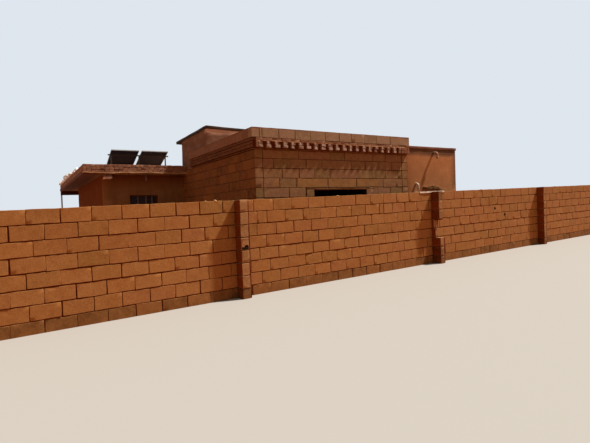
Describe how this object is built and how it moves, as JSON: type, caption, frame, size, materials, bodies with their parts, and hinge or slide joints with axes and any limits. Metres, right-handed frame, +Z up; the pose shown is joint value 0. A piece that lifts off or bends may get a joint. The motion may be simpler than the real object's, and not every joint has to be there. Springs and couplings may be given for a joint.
{
  "type": "earth-block house with a street wall",
  "caption": "Single-storey earth-block house: front room with a dog-tooth brick cornice, taller rear room, plastered wing, flat-roofed main house with a porch, and a stepped street wall.",
  "frame": {"origin": "where the wall centre lines cross at the front room's front left corner, at the lowest ground point under the street wall", "axes": "+X to the right along the front room, +Y to the back, +Z up"},
  "size_m": [19.7846, 15.4949, 4.031],
  "materials": {
    "street_wall": "matt, weathered",
    "house_block": "matt, weathered",
    "mud_plaster": "matt, trowelled",
    "dark_plaster": "matt, rain-darkened",
    "fired_brick": "matt",
    "concrete": "matt, rough",
    "dark_steel": "dull, dusty",
    "grey_pipe": "dull",
    "white_pipe": "dusty",
    "solar_glass": "satin, dusty",
    "floor_earth": "matt, trodden"
  },
  "bodies": {
    "root": {"boundary_bay_1": "street_wall", "boundary_bay_2": "street_wall", "boundary_bay_3": "street_wall", "boundary_bay_4": "street_wall", "boundary_pilaster_1": "street_wall", "boundary_pilaster_2": "street_wall", "boundary_pilaster_3": "street_wall", "boundary_pilaster_4": "street_wall", "boundary_pilaster_5": "street_wall", "front_wall": "house_block", "left_side_wall": "house_block", "right_side_wall": "house_block", "cross_wall": "house_block", "rear_wall": "house_block", "parapet_course": "house_block", "rear_upper_walls": "dark_plaster", "rear_roof_slab": "concrete", "front_roof_slab": "concrete", "wing_roof_slab": "concrete", "main_roof_slab": "concrete", "eave_beam_end": "concrete", "porch_beam": "concrete", "lintels": "concrete", "cornice_lower_course": "fired_brick", "cornice_tooth_course": "fired_brick", "cornice_upper_course": "fired_brick", "eave_band_ends": "fired_brick", "eave_band_sides": "fired_brick", "wing_front_wall": "mud_plaster", "wing_side_wall": "mud_plaster", "wing_back_wall": "mud_plaster", "wing_coping": "mud_plaster", "mud_ledge": "mud_plaster", "main_front_wall": "mud_plaster", "main_left_wall": "mud_plaster", "main_right_wall": "mud_plaster", "main_back_wall": "mud_plaster", "roof_spout": "grey_pipe", "roof_spout_elbow": "white_pipe", "lower_pipe_elbow": "white_pipe", "porch_posts": "dark_steel", "window_frames": "dark_steel", "solar_rack": "dark_steel", "solar_panel_left": "solar_glass", "solar_panel_right": "solar_glass", "earth_floors": "floor_earth"}
  },
  "joints": []
}
